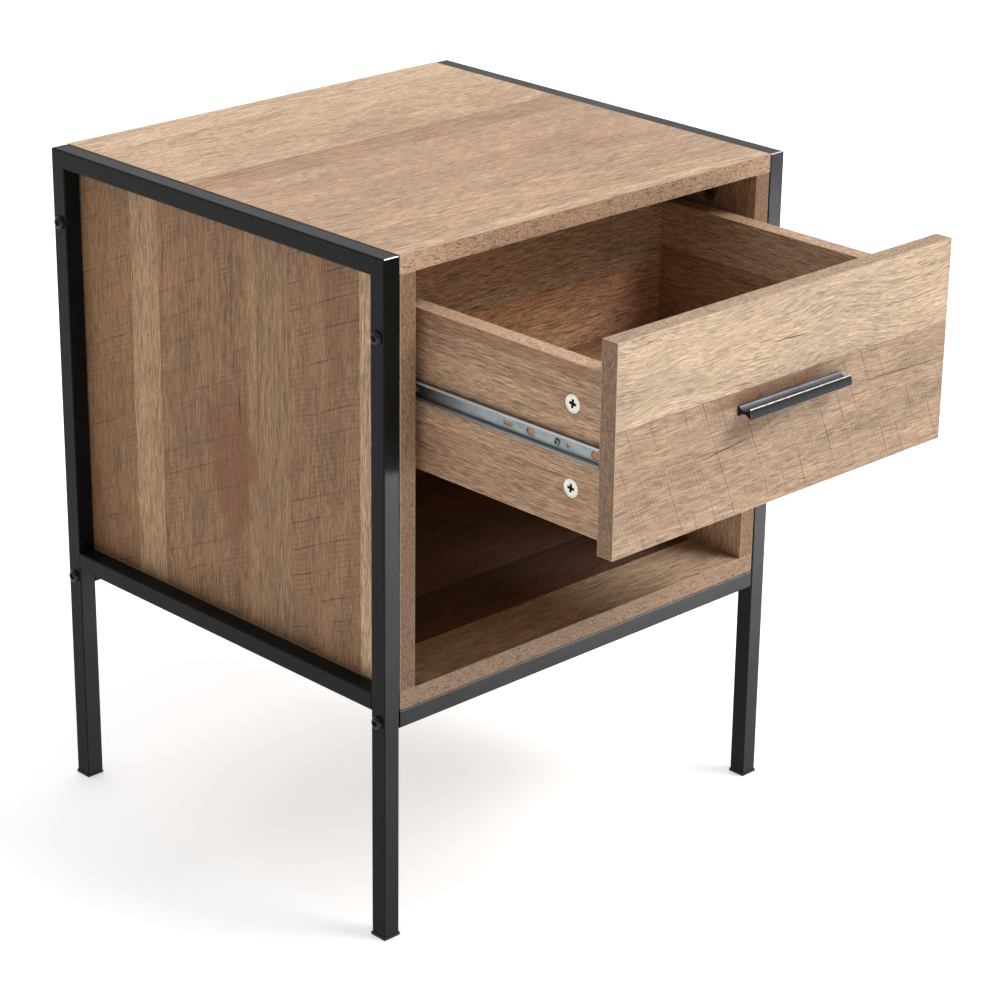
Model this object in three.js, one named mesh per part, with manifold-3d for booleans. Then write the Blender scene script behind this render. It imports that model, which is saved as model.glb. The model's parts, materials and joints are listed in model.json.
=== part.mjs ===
// Side table with one drawer and an open shelf: two welded side frames of square steel tube, joined by
// two cross rails, carry a case of laminated boards, and the drawer runs on ball-bearing slides.
//
// Units are millimetres. X runs across the table, the front faces -Y and Z is up. The drawer is modelled
// closed and its group is then pulled out by DRAWER_OPEN. Spans are [low, high] pairs.

import * as THREE from 'three';
import { mergeVertices } from 'three/addons/utils/BufferGeometryUtils.js';
import Module from 'manifold-3d';

const wasm = await Module();
wasm.setup();

// ---- Driving dimensions: frame ----
const WIDTH = 427; // over the outer faces of the two side frames
const DEPTH = 391;
const HEIGHT = 550; // floor to the top of the frames
const TUBE = 15; // side of the square tube
const TUBE_WALL = 1.25;
const LOWER_RAIL_TOP = 207;
const CROSS_RAIL_GAP = 1; // between each end of a cross rail and the leg
const CROSS_RAIL_PLUG = 12; // length of the solid plug in each end of a cross rail
const FOOT_LIP = 2.5;
const FOOT_FLARE = 0.5; // how far the foot stands out past the tube
const FOOT_PLUG = 12;
const FOOT_FIT = 0.25;

// ---- Driving dimensions: case ----
const BOARD = 15;
const CASE_RISE = 0.5; // how far the table top stands above the frames
const TOP_GAP = 0.25; // between the top board and the frames
const SIDE_GAP = 1;
const BOTTOM_GAP = 1.25;
const GROOVE_DEPTH = 6;
const GROOVE_FIT = 0.25; // on each side of the panel that sits in the groove
const PANEL_BITE = 5.5; // how far a thin panel goes into its groove
const BACK_THICKNESS = 3;
const BACK_INSET = 15; // rear edge of the case to the back panel

// ---- Driving dimensions: drawer ----
const DRAWER_OPEN = 198;
const DRAWER_FRONT = { halfWidth: 179.5, z: [371, 531] };
const DRAWER_SIDE = { length: 275, z: [378.5, 503.5] };
const DRAWER_FLOOR = [398, 401];
const HANDLE = { length: 110, depth: 13.25, height: 7.5, flange: 1.25, waist: 2.5 };
const HANDLE_Z = 451.75;
const HANDLE_SCREW_PITCH = 96;

// ---- Driving dimensions: slides ----
const SLIDE = { length: 250, width: 10, z: 441, setBack: 18 }; // setBack: front of the case to the slide
const OUTER_MEMBER = { height: 27, thickness: 1, depth: 8.5, lip: 2.75, lipThickness: 0.75 };
const OUTER_MEMBER_HOLES = { radius: 2.25, y: [-100, -20, 90] }; // y from the middle of the member
const INNER_MEMBER = { height: 14.5, thickness: 1, depth: 6 };
const INNER_NOTCH = { radius: 3.5, fromEnd: 7 }; // the open-ended notch; fromEnd is from the front end
const INNER_RIVETS = { radius: 1.75, fromEnd: [33, 44] };
const INNER_SLOTS = [{ length: 10.5, width: 5, fromEnd: 70 }, { length: 13, width: 4, fromEnd: 93 }];
const CAGE = { length: 100, behindMiddle: 29, height: 20.25, thickness: 0.5, webX: [2.5, 3], armTip: -2.5 };
const BALL = { radius: 2.25, z: 9.875, count: 5, pitch: 20 };

// ---- Driving dimensions: fasteners ----
const BOLT = { radius: 2.9, length: 25, headRadius: 5.4, headHeight: 3.25, hole: 3.4 };
const BOLT_CROWN = [[1, 0.25], [0.87, 0.55], [0.68, 0.82], [0.5, 1]]; // in head radii and head heights
const BOLT_SOCKET = { radius: 2.3, depth: 3.25 }; // depth from PAST above the head
const BOLT_UPPER_Z = 490;
const CAM = { radius: 7.25, depth: 11.75, bore: 7.6, boreDepth: 12.25, recess: 0.25, fromEnd: 34 };
const CAM_CROSS = { reach: 3.25, halfWidth: 0.9, depth: 2.5 };
const CAM_SLOT = { width: 4, startsAt: 3 }; // narrow slot for the bolt's neck; startsAt is from the axis
const CAM_POCKET = { width: 6, y: [-4.25, 1.5] }; // wider pocket for the bolt's head
const CASE_CAM = { fromEdge: 50, fromBoard: 24 }; // front or rear edge, and top or bottom board, to the cam
const DRAWER_CAM_SPREAD = 63; // between the two cams of one drawer side
const CAM_BOLT = { thread: 2.5, threadLength: 11, body: 3, neck: 1.5, head: 2.5, headLength: 3 };
const CAM_BOLT_HOLES = { thread: 2.85, channel: 3.75, bottom: 0.5, bodyGap: 0.75 };
const SCREW = { radius: 1.5, headRadius: 3.25, headHeight: 2.25, hole: 2.25, bite: 2.75 };
const SCREW_CROSS = { reach: 2, halfWidth: 0.5, depth: 1 };
const SCREW_HOLE_IN_HANDLE = { radius: 1.75, depth: 3 };
const ROUND_SIDES = 20;
const SMALL_SIDES = 12;
const PAST = 1; // how far a cutter runs past the face that it opens

// ---- Derived places ----
const halfTube = TUBE / 2;
const legX = WIDTH / 2 - halfTube;
const legY = DEPTH / 2 - halfTube;
const frameInside = WIDTH / 2 - TUBE;
const crossRailTop = LOWER_RAIL_TOP - TUBE;
const crossRailZ = crossRailTop - halfTube;
const front = -DEPTH / 2;
const rear = DEPTH / 2;
const topUnderside = HEIGHT + CASE_RISE - BOARD;
const shelfTop = LOWER_RAIL_TOP;
const sideOutside = frameInside - SIDE_GAP;
const sideInside = sideOutside - BOARD;
const backY = [rear - BACK_INSET - BACK_THICKNESS, rear - BACK_INSET];
const drawerOutside = sideInside - SLIDE.width;
const drawerInside = drawerOutside - BOARD;
const drawerFrontBack = front + BOARD; // rear face of the closed drawer front
const drawerRear = drawerFrontBack + DRAWER_SIDE.length;
const slideY = front + SLIDE.setBack + SLIDE.length / 2;
const slideX = sideInside - SLIDE.width / 2;
const drawerCamY = drawerFrontBack + CAM.fromEnd;
const drawerCamX = drawerOutside - BOARD / 2;
const drawerCamZ = [SLIDE.z + DRAWER_CAM_SPREAD / 2, SLIDE.z - DRAWER_CAM_SPREAD / 2];

// ---- Materials ----
const paint = (color, roughness, metalness) =>
  new THREE.MeshStandardMaterial({ color, roughness, metalness, flatShading: true });
const laminate = paint(0xa98865, 0.6, 0);
const hardboard = paint(0x6e5440, 0.8, 0);
const blackSteel = paint(0x242424, 0.5, 0.3);
const boltSteel = paint(0x1c1c1c, 0.4, 0.6);
const plastic = paint(0x161616, 0.6, 0);
const zincSteel = paint(0x9ea6a6, 0.3, 1);
const camZinc = paint(0xd7d5c8, 0.4, 0.7);
const handleMetal = paint(0x2e2f32, 0.3, 0.8);

// ---- Shapes ----
const span = (middle, size) => [middle - size / 2, middle + size / 2];
const mid = (pair) => (pair[0] + pair[1]) / 2;
const grow = (pair, by) => [pair[0] - by, pair[1] + by];
const both = (half) => [-half, half];

/** A box that fills three spans. */
function block(x, y, z) {
  const geometry = new THREE.BoxGeometry(x[1] - x[0], y[1] - y[0], z[1] - z[0]);
  return geometry.translate(mid(x), mid(y), mid(z));
}

/** A round bar along X. */
function barX(radius, x, y = 0, z = 0, sides = SMALL_SIDES) {
  const geometry = new THREE.CylinderGeometry(radius, radius, x[1] - x[0], sides);
  return geometry.rotateZ(-Math.PI / 2).translate(mid(x), y, z);
}

/** A round bar along Y. */
function barY(radius, y, x = 0, z = 0, sides = SMALL_SIDES) {
  const geometry = new THREE.CylinderGeometry(radius, radius, y[1] - y[0], sides);
  return geometry.translate(x, mid(y), z);
}

/** An outline in the YZ plane, extruded along X. */
function prismX(outline, x) {
  const geometry = new THREE.ExtrudeGeometry(outline, { depth: x[1] - x[0], bevelEnabled: false });
  const turn = new THREE.Matrix4().set(0, 0, 1, x[0], 1, 0, 0, 0, 0, 1, 0, 0, 0, 0, 0, 1);
  return geometry.applyMatrix4(turn);
}

const polygon = (points) => new THREE.Shape(points.map(([a, b]) => new THREE.Vector2(a, b)));

/** A three.js geometry as a manifold solid. */
function solidOf(geometry) {
  const bare = geometry.clone();
  bare.deleteAttribute('normal');
  bare.deleteAttribute('uv');
  const merged = mergeVertices(bare);
  const triangles = [];
  for (let i = 0; i < merged.index.count; i += 3) {
    const [a, b, c] = [0, 1, 2].map((k) => merged.index.getX(i + k));
    if (a !== b && b !== c && c !== a) triangles.push(a, b, c);
  }
  const vertProperties = new Float32Array(merged.attributes.position.array);
  const triVerts = new Uint32Array(triangles);
  return new wasm.Manifold(new wasm.Mesh({ numProp: 3, vertProperties, triVerts }));
}

/** A manifold solid as a three.js geometry. */
function geometryOf(solid) {
  const { vertProperties, triVerts } = solid.getMesh();
  const geometry = new THREE.BufferGeometry();
  geometry.setAttribute('position', new THREE.BufferAttribute(vertProperties, 3));
  geometry.setIndex(new THREE.BufferAttribute(triVerts, 1));
  geometry.computeVertexNormals();
  return geometry;
}

/** The first geometry with the added ones joined and the cutters taken away. */
function shape(body, { add = [], cut = [] } = {}) {
  let solid = solidOf(body);
  for (const geometry of add) solid = solid.add(solidOf(geometry));
  for (const geometry of cut) solid = solid.subtract(solidOf(geometry));
  return geometryOf(solid);
}

/** A solid turned from a profile of [radius, height] points about Y. */
function turned(profile, sides = SMALL_SIDES) {
  return new THREE.LatheGeometry(profile.map(([r, h]) => new THREE.Vector2(r, h)), sides);
}

/** The mirror image of a geometry across the YZ plane. */
function mirrored(geometry) {
  const flipped = geometry.clone().scale(-1, 1, 1);
  for (let i = 0; i < flipped.index.count; i += 3) {
    const first = flipped.index.getX(i);
    flipped.index.setX(i, flipped.index.getX(i + 2));
    flipped.index.setX(i + 2, first);
  }
  flipped.computeVertexNormals();
  return flipped;
}

/** Adds a named mesh to a group at a place, turned by Euler angles. */
function put(group, name, geometry, material, place = [0, 0, 0], turn = [0, 0, 0]) {
  const mesh = new THREE.Mesh(geometry, material);
  mesh.name = name;
  mesh.position.set(...place);
  mesh.rotation.set(...turn);
  group.add(mesh);
}

/** Adds a board that fills three spans, less its cutters, with its own origin at its middle. */
function putBoard(group, name, material, x, y, z, cut = []) {
  const middle = [mid(x), mid(y), mid(z)];
  const geometry = shape(block(x, y, z), { cut }).translate(-middle[0], -middle[1], -middle[2]);
  put(group, name, geometry, material, middle);
}

const SIDES = { left: -1, right: 1 };
const ENDS = { front: -1, rear: 1 };
/** A span across X on the right-hand side, or its mirror image on the left. */
const across = (side, pair) => (side > 0 ? pair : [-pair[1], -pair[0]]);

// ---- Side frames ----

/** A front leg about its own axis, with its foot end open and its top mitred down towards the rear. */
function legGeometry() {
  const bore = halfTube - TUBE_WALL;
  const tube = block(both(halfTube), both(halfTube), [FOOT_LIP, HEIGHT]);
  const reach = halfTube + PAST;
  const mitre = [[-reach, HEIGHT + PAST], [reach, HEIGHT - TUBE - PAST], [reach, HEIGHT + PAST]];
  return shape(tube, {
    cut: [
      block(both(bore), both(bore), [FOOT_LIP - PAST, HEIGHT + PAST]),
      prismX(polygon(mitre), both(reach)),
      barX(BOLT.hole, both(reach), 0, BOLT_UPPER_Z),
      barX(BOLT.hole, both(reach), 0, crossRailZ),
    ],
  });
}

/** A tube along Y with both ends square. */
function straightRailGeometry(length) {
  const bore = halfTube - TUBE_WALL;
  const half = length / 2;
  return shape(block(both(halfTube), both(half), both(halfTube)), {
    cut: [block(both(bore), [-half - PAST, half + PAST], both(bore))],
  });
}

/** A tube along Y whose ends are mitred to meet the legs. */
function mitredRailGeometry() {
  const reach = halfTube + PAST;
  const mitre = [[front - PAST, reach], [front + TUBE + PAST, -reach], [front - PAST, -reach]];
  const farMitre = mitre.map(([y, z]) => [-y, z]);
  return shape(straightRailGeometry(DEPTH), {
    cut: [mitre, farMitre].map((points) => prismX(polygon(points), both(reach))),
  });
}

/** A cross rail along X: a tube whose plugged ends are drilled for the frame bolts. */
function crossRailGeometry() {
  const half = frameInside - CROSS_RAIL_GAP;
  const bore = halfTube - TUBE_WALL;
  const hollow = half - CROSS_RAIL_PLUG;
  const drilled = [half - CROSS_RAIL_PLUG - PAST, half + PAST];
  return shape(block(both(half), both(halfTube), both(halfTube)), {
    cut: [
      block(both(hollow), both(bore), both(bore)),
      barX(BOLT.hole, drilled),
      barX(BOLT.hole, across(-1, drilled)),
    ],
  });
}

/** A plastic foot with a plug that goes up into the leg. */
function footGeometry() {
  const lip = halfTube + FOOT_FLARE;
  const plug = halfTube - TUBE_WALL - FOOT_FIT;
  return shape(block(both(lip), both(lip), [0, FOOT_LIP]), {
    add: [block(both(plug), both(plug), [FOOT_LIP - PAST, FOOT_LIP + FOOT_PLUG])],
  });
}

/** A button-head socket bolt along X, with its head's seat at X = 0. */
function boltGeometry() {
  const { radius, length, headRadius, headHeight } = BOLT;
  const shank = [[0, -length], [radius, -length], [radius, 0], [headRadius, 0]];
  const crown = BOLT_CROWN.map(([r, h]) => [r * headRadius, h * headHeight]);
  const socket = new THREE.CylinderGeometry(BOLT_SOCKET.radius, BOLT_SOCKET.radius, BOLT_SOCKET.depth, 6);
  socket.translate(0, headHeight + PAST - BOLT_SOCKET.depth / 2, 0);
  return shape(turned([...shank, ...crown, [0, headHeight]]), { cut: [socket] }).rotateZ(-Math.PI / 2);
}

function addFrames(group) {
  const leg = legGeometry();
  const topRail = mitredRailGeometry();
  const lowerRail = straightRailGeometry(DEPTH - 2 * TUBE);
  const foot = footGeometry();
  const bolt = boltGeometry();
  for (const [sideName, side] of Object.entries(SIDES)) {
    for (const [endName, end] of Object.entries(ENDS)) {
      const corner = `${sideName}_${endName}`;
      const halfTurn = [0, 0, end > 0 ? Math.PI : 0];
      const outward = [0, 0, side > 0 ? 0 : Math.PI];
      put(group, `${corner}_leg`, leg, blackSteel, [side * legX, end * legY, 0], halfTurn);
      put(group, `${corner}_foot`, foot, plastic, [side * legX, end * legY, 0]);
      for (const [level, z] of Object.entries({ upper: BOLT_UPPER_Z, lower: crossRailZ })) {
        put(group, `${corner}_${level}_bolt`, bolt, boltSteel, [side * (WIDTH / 2), end * legY, z], outward);
      }
    }
    put(group, `${sideName}_top_rail`, topRail, blackSteel, [side * legX, 0, HEIGHT - halfTube]);
    put(group, `${sideName}_lower_rail`, lowerRail, blackSteel, [side * legX, 0, LOWER_RAIL_TOP - halfTube]);
  }
  const crossRail = crossRailGeometry();
  for (const [endName, end] of Object.entries(ENDS)) {
    put(group, `${endName}_cross_rail`, crossRail, blackSteel, [0, end * legY, crossRailZ]);
  }
}

// ---- Case ----

/** A cam lock with its face at X = 0 and the slot for its bolt open towards -Y. */
function camGeometry() {
  const { radius, depth } = CAM;
  const boltAxis = CAM.recess - BOARD / 2;
  const crossX = [-CAM_CROSS.depth, PAST];
  return shape(barX(radius, [-depth, 0], 0, 0, ROUND_SIDES), {
    cut: [
      block(crossX, both(CAM_CROSS.reach), both(CAM_CROSS.halfWidth)),
      block(crossX, both(CAM_CROSS.halfWidth), both(CAM_CROSS.reach)),
      block(span(boltAxis, CAM_SLOT.width), [-radius - PAST, -CAM_SLOT.startsAt], span(0, CAM_SLOT.width)),
      block(span(boltAxis, CAM_POCKET.width), CAM_POCKET.y, span(0, CAM_POCKET.width)),
    ],
  });
}

function addCase(group) {
  const full = [front, rear];
  const topHalf = frameInside - TOP_GAP;
  const bottomHalf = frameInside - BOTTOM_GAP;
  const grooveHalf = sideInside + GROOVE_DEPTH;
  const grooveY = grow(backY, GROOVE_FIT);
  const sideZ = [shelfTop, topUnderside];
  const camY = Math.abs(front) - CASE_CAM.fromEdge;
  const camZ = { upper: topUnderside - CASE_CAM.fromBoard, lower: shelfTop + CASE_CAM.fromBoard };

  const topZ = [topUnderside, topUnderside + BOARD];
  const topGroove = block(both(grooveHalf), grooveY, [topUnderside - PAST, topUnderside + GROOVE_DEPTH]);
  putBoard(group, 'top_panel', laminate, both(topHalf), full, topZ, [topGroove]);

  const bottomZ = [shelfTop - BOARD, shelfTop];
  const bottomGroove = block(both(grooveHalf), grooveY, [shelfTop - GROOVE_DEPTH, shelfTop + PAST]);
  putBoard(group, 'bottom_panel', laminate, both(bottomHalf), full, bottomZ, [bottomGroove]);

  const backX = both(sideInside + PANEL_BITE);
  putBoard(group, 'back_panel', hardboard, backX, backY, grow(sideZ, PANEL_BITE));

  const cam = camGeometry();
  for (const [sideName, side] of Object.entries(SIDES)) {
    const grooveX = across(side, [sideInside - PAST, sideInside + GROOVE_DEPTH]);
    const cutters = [block(grooveX, grooveY, grow(sideZ, PAST))];
    for (const [endName, end] of Object.entries(ENDS)) {
      const drilled = across(side, [WIDTH / 2 - BOLT.length - PAST, sideOutside + PAST]);
      cutters.push(barX(BOLT.hole, drilled, end * legY, BOLT_UPPER_Z));
      for (const [level, z] of Object.entries(camZ)) {
        const bored = across(side, [sideInside - PAST, sideInside + CAM.boreDepth]);
        cutters.push(barX(CAM.bore, bored, end * camY, z, ROUND_SIDES));
        const place = [side * (sideInside + CAM.recess), end * camY, z];
        const turn = [(level === 'upper' ? -1 : 1) * (Math.PI / 2), side > 0 ? Math.PI : 0, 0];
        put(group, `${sideName}_${endName}_${level}_cam`, cam, camZinc, place, turn);
      }
    }
    const sideX = across(side, [sideInside, sideOutside]);
    putBoard(group, `${sideName}_side_panel`, laminate, sideX, full, sideZ, cutters);
  }
}

// ---- Slides: drawn for the right-hand side, with X = 0 in the middle of the slide's own width ----

/** A C-shaped section in the XZ plane, open towards the opposite side of its web, extruded along Y. */
function channel(webX, tipX, height, thickness, length, lip = 0, lipThickness = 0) {
  const toTip = Math.sign(tipX - webX);
  const half = height / 2;
  const body = block([webX, tipX].sort((a, b) => a - b), span(0, length), both(half));
  const inside = half - thickness;
  const mouth = inside - lip;
  const hollow = [webX + toTip * thickness, tipX - toTip * lipThickness].sort((a, b) => a - b);
  const opening = [webX + toTip * thickness, tipX + toTip * PAST].sort((a, b) => a - b);
  return shape(body, {
    cut: [
      block(hollow, span(0, length + 2 * PAST), both(inside)),
      block(opening, span(0, length + 2 * PAST), both(mouth)),
    ],
  });
}

/** The member screwed to the case, with its channel open towards the drawer. */
function outerMemberGeometry() {
  const { height, thickness, depth, lip, lipThickness } = OUTER_MEMBER;
  const webX = SLIDE.width / 2;
  const member = channel(webX, webX - depth, height, thickness, SLIDE.length, lip, lipThickness);
  const through = grow([webX - thickness, webX], PAST);
  const holes = OUTER_MEMBER_HOLES.y.map((y) => barX(OUTER_MEMBER_HOLES.radius, through, y));
  return shape(member, { cut: holes });
}

/** The member screwed to the drawer, with its channel open towards the case. */
function innerMemberGeometry() {
  const { height, thickness, depth } = INNER_MEMBER;
  const webX = -SLIDE.width / 2;
  const member = channel(webX, webX + depth, height, thickness, SLIDE.length);
  const through = grow([webX, webX + thickness], PAST);
  const tip = -SLIDE.length / 2;
  const notchY = tip + INNER_NOTCH.fromEnd;
  const cut = [
    barX(INNER_NOTCH.radius, through, notchY),
    block(through, [tip - PAST, notchY], both(INNER_NOTCH.radius)),
    ...INNER_RIVETS.fromEnd.map((fromEnd) => barX(INNER_RIVETS.radius, through, tip + fromEnd)),
  ];
  for (const { length, width, fromEnd } of INNER_SLOTS) {
    const straight = span(tip + fromEnd, length - width);
    cut.push(block(through, straight, span(0, width)));
    cut.push(...straight.map((y) => barX(width / 2, through, y)));
  }
  return shape(member, { cut });
}

/** A ball cage: a U-shaped strip with a row of balls in each arm. */
function cageGeometry() {
  const strip = channel(CAGE.webX[1], CAGE.armTip, CAGE.height, CAGE.thickness, CAGE.length);
  const balls = [];
  for (let i = 0; i < BALL.count; i += 1) {
    const y = (i - (BALL.count - 1) / 2) * BALL.pitch;
    for (const z of [-BALL.z, BALL.z]) {
      balls.push(new THREE.SphereGeometry(BALL.radius, 8, 5).translate(0, y, z));
    }
  }
  return shape(strip, { add: balls });
}

/** Adds the left and right copies of one slide part. */
function addSlideParts(group, name, material, geometry, y) {
  put(group, `left_${name}`, mirrored(geometry), material, [-slideX, y, SLIDE.z]);
  put(group, `right_${name}`, geometry, material, [slideX, y, SLIDE.z]);
}

// ---- Drawer, closed ----

/** The handle's section: a spool with flat front and rear flanges and an arc above and below. */
function handleOutline() {
  const { depth, height, flange, waist } = HANDLE;
  const halfChord = depth / 2 - flange;
  const sagitta = (height - waist) / 2;
  const radius = (halfChord ** 2 + sagitta ** 2) / (2 * sagitta);
  const swing = Math.asin(halfChord / radius);
  const middle = -depth / 2;
  const centre = waist / 2 + radius;
  const outline = new THREE.Shape();
  outline.moveTo(0, -height / 2);
  outline.lineTo(0, height / 2);
  outline.lineTo(-flange, height / 2);
  outline.absarc(middle, centre, radius, -Math.PI / 2 + swing, -Math.PI / 2 - swing, true);
  outline.lineTo(-depth, height / 2);
  outline.lineTo(-depth, -height / 2);
  outline.lineTo(-depth + flange, -height / 2);
  outline.absarc(middle, -centre, radius, Math.PI / 2 + swing, Math.PI / 2 - swing, true);
  outline.lineTo(-flange, -height / 2);
  return outline;
}

/** The handle along X, with its rear flange on Y = 0 and a blind hole for each screw. */
function handleGeometry() {
  const { radius, depth } = SCREW_HOLE_IN_HANDLE;
  const holes = span(0, HANDLE_SCREW_PITCH).map((x) => barY(radius, [-depth, PAST], x));
  return shape(prismX(handleOutline(), span(0, HANDLE.length)), { cut: holes });
}

/** A pan-head screw along Y: its head's seat is at Y = 0 and its shank runs towards -Y. */
function screwGeometry() {
  const { radius, headRadius, headHeight, bite } = SCREW;
  const length = BOARD + bite;
  const shank = [[0, -length], [radius, -length], [radius, 0]];
  const crown = [[headRadius, headHeight / 2], [headRadius * 0.7, headHeight], [0, headHeight]];
  const screw = turned([...shank, [headRadius, 0], ...crown]);
  const { reach, halfWidth, depth } = SCREW_CROSS;
  const crossY = [headHeight - depth, headHeight + PAST];
  return shape(screw, {
    cut: [block(both(reach), crossY, both(halfWidth)), block(both(halfWidth), crossY, both(reach))],
  });
}

/** A cam bolt along Y: it is screwed in up to Y = 0 and its head reaches the cam. */
function camBoltGeometry() {
  const { thread, threadLength, body, neck, head, headLength } = CAM_BOLT;
  const bodyEnd = CAM.fromEnd - CAM.radius - CAM_BOLT_HOLES.bodyGap;
  const headStart = CAM.fromEnd - headLength;
  return shape(turned([
    [0, -threadLength], [thread, -threadLength], [thread, 0], [body, 0], [body, bodyEnd],
    [neck, bodyEnd], [neck, headStart], [head, headStart], [head, CAM.fromEnd], [0, CAM.fromEnd],
  ]));
}

function addDrawer(group) {
  const { halfWidth, z: frontZ } = DRAWER_FRONT;
  const grooveZ = grow(DRAWER_FLOOR, GROOVE_FIT);
  const grooveHalf = drawerInside + GROOVE_DEPTH;
  const sideY = [drawerFrontBack, drawerRear];
  const backFace = drawerRear - BOARD;

  const frontCuts = [
    block(both(grooveHalf), [drawerFrontBack - GROOVE_DEPTH, drawerFrontBack + PAST], grooveZ),
  ];
  const cam = camGeometry();
  const camBolt = camBoltGeometry();
  const screw = screwGeometry();
  for (const [sideName, side] of Object.entries(SIDES)) {
    const screwX = (side * HANDLE_SCREW_PITCH) / 2;
    frontCuts.push(barY(SCREW.hole, grow([front, drawerFrontBack], PAST), screwX, HANDLE_Z));
    put(group, `${sideName}_handle_screw`, screw, zincSteel, [screwX, drawerFrontBack, HANDLE_Z]);

    const grooveX = across(side, [drawerInside - PAST, drawerInside + GROOVE_DEPTH]);
    const sideCuts = [block(grooveX, grow(sideY, PAST), grooveZ)];
    for (const [i, level] of ['upper', 'lower'].entries()) {
      const z = drawerCamZ[i];
      const bored = across(side, [drawerOutside - CAM.boreDepth, drawerOutside + PAST]);
      sideCuts.push(barX(CAM.bore, bored, drawerCamY, z, ROUND_SIDES));
      const boltX = side * drawerCamX;
      sideCuts.push(barY(CAM_BOLT_HOLES.channel, [drawerFrontBack - PAST, drawerCamY], boltX, z));
      const holeBottom = drawerFrontBack - CAM_BOLT.threadLength - CAM_BOLT_HOLES.bottom;
      frontCuts.push(barY(CAM_BOLT_HOLES.thread, [holeBottom, drawerFrontBack + PAST], boltX, z));
      const camPlace = [side * (drawerOutside - CAM.recess), drawerCamY, z];
      put(group, `drawer_${sideName}_${level}_cam`, cam, camZinc, camPlace, [0, side > 0 ? 0 : Math.PI, 0]);
      put(group, `drawer_${sideName}_${level}_cam_bolt`, camBolt, zincSteel, [boltX, drawerFrontBack, z]);
    }
    const sideX = across(side, [drawerInside, drawerOutside]);
    putBoard(group, `drawer_${sideName}_side`, laminate, sideX, sideY, DRAWER_SIDE.z, sideCuts);
  }
  putBoard(group, 'drawer_front', laminate, both(halfWidth), [front, drawerFrontBack], frontZ, frontCuts);

  const backX = both(drawerInside);
  const backCut = block(grow(backX, PAST), [backFace - PAST, backFace + GROOVE_DEPTH], grooveZ);
  putBoard(group, 'drawer_back', laminate, backX, [backFace, drawerRear], DRAWER_SIDE.z, [backCut]);

  const floorY = grow([drawerFrontBack, backFace], PANEL_BITE);
  putBoard(group, 'drawer_floor', hardboard, grow(backX, PANEL_BITE), floorY, DRAWER_FLOOR);

  put(group, 'drawer_handle', handleGeometry(), handleMetal, [0, front, HANDLE_Z]);
}

// ---- Assembly ----
const cabinet = new THREE.Group();
addFrames(cabinet);
addCase(cabinet);
addSlideParts(cabinet, 'slide_outer', zincSteel, outerMemberGeometry(), slideY);

const drawer = new THREE.Group();
addDrawer(drawer);
addSlideParts(drawer, 'slide_inner', zincSteel, innerMemberGeometry(), slideY);
drawer.position.y = -DRAWER_OPEN;

// Each ball cage rolls half as far as the drawer moves.
const cages = new THREE.Group();
addSlideParts(cages, 'ball_cage', zincSteel, cageGeometry(), slideY + CAGE.behindMiddle);
cages.position.y = -DRAWER_OPEN / 2;

// The origin is on the floor, in the middle of the footprint of the table with its drawer open.
const table = new THREE.Group();
table.add(cabinet, drawer, cages);
const frontReach = DEPTH / 2 + DRAWER_OPEN + HANDLE.depth;
const rearReach = DEPTH / 2 + FOOT_FLARE;
table.position.y = (frontReach - rearReach) / 2;

export default table;
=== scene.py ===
"""Looks of the side table with one drawer: printed oak boards, powder-coated tube and plated fittings.

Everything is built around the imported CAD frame, in metres. X runs across the table, the front faces -Y
and Z is up. Sizes in this file are millimetres, turned into metres by MM, except the floor's reach, the
card of light and the camera's place, which are metres.
"""

import json
import math
from typing import NamedTuple

import bmesh
import bpy
from mathutils import Matrix, Vector

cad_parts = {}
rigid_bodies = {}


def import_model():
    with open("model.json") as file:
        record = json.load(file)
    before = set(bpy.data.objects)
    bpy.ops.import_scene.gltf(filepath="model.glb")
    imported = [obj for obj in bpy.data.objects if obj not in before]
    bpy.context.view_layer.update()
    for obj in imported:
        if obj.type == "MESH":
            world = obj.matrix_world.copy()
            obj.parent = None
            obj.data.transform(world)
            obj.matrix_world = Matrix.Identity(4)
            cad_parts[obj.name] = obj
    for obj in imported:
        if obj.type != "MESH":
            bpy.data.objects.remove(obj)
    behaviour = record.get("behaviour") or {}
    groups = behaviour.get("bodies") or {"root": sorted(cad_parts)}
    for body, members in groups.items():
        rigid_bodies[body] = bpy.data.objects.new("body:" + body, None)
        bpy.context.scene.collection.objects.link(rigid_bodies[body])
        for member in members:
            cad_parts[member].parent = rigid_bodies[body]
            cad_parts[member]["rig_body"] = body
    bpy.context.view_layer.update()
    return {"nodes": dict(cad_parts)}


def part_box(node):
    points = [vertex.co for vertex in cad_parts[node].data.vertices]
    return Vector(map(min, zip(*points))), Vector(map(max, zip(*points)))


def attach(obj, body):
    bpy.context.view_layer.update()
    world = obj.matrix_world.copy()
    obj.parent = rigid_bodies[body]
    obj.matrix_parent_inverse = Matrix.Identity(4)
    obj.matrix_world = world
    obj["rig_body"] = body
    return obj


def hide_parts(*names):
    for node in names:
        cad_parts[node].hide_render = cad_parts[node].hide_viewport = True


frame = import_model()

MM = 0.001
AXES = "XYZ"
NODES = frame["nodes"]


# ---- Node graphs ----

class Term:
    """A socket in a material. Arithmetic on terms adds Math nodes."""

    def __init__(self, graph, socket):
        self.graph = graph
        self.socket = socket

    def __add__(self, other):
        return self.graph.math("ADD", self, other)

    def __sub__(self, other):
        return self.graph.math("SUBTRACT", self, other)

    def __rsub__(self, other):
        return self.graph.math("SUBTRACT", other, self)

    def __mul__(self, other):
        return self.graph.math("MULTIPLY", self, other)

    def __truediv__(self, other):
        return self.graph.math("DIVIDE", self, other)

    __radd__ = __add__
    __rmul__ = __mul__


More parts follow.
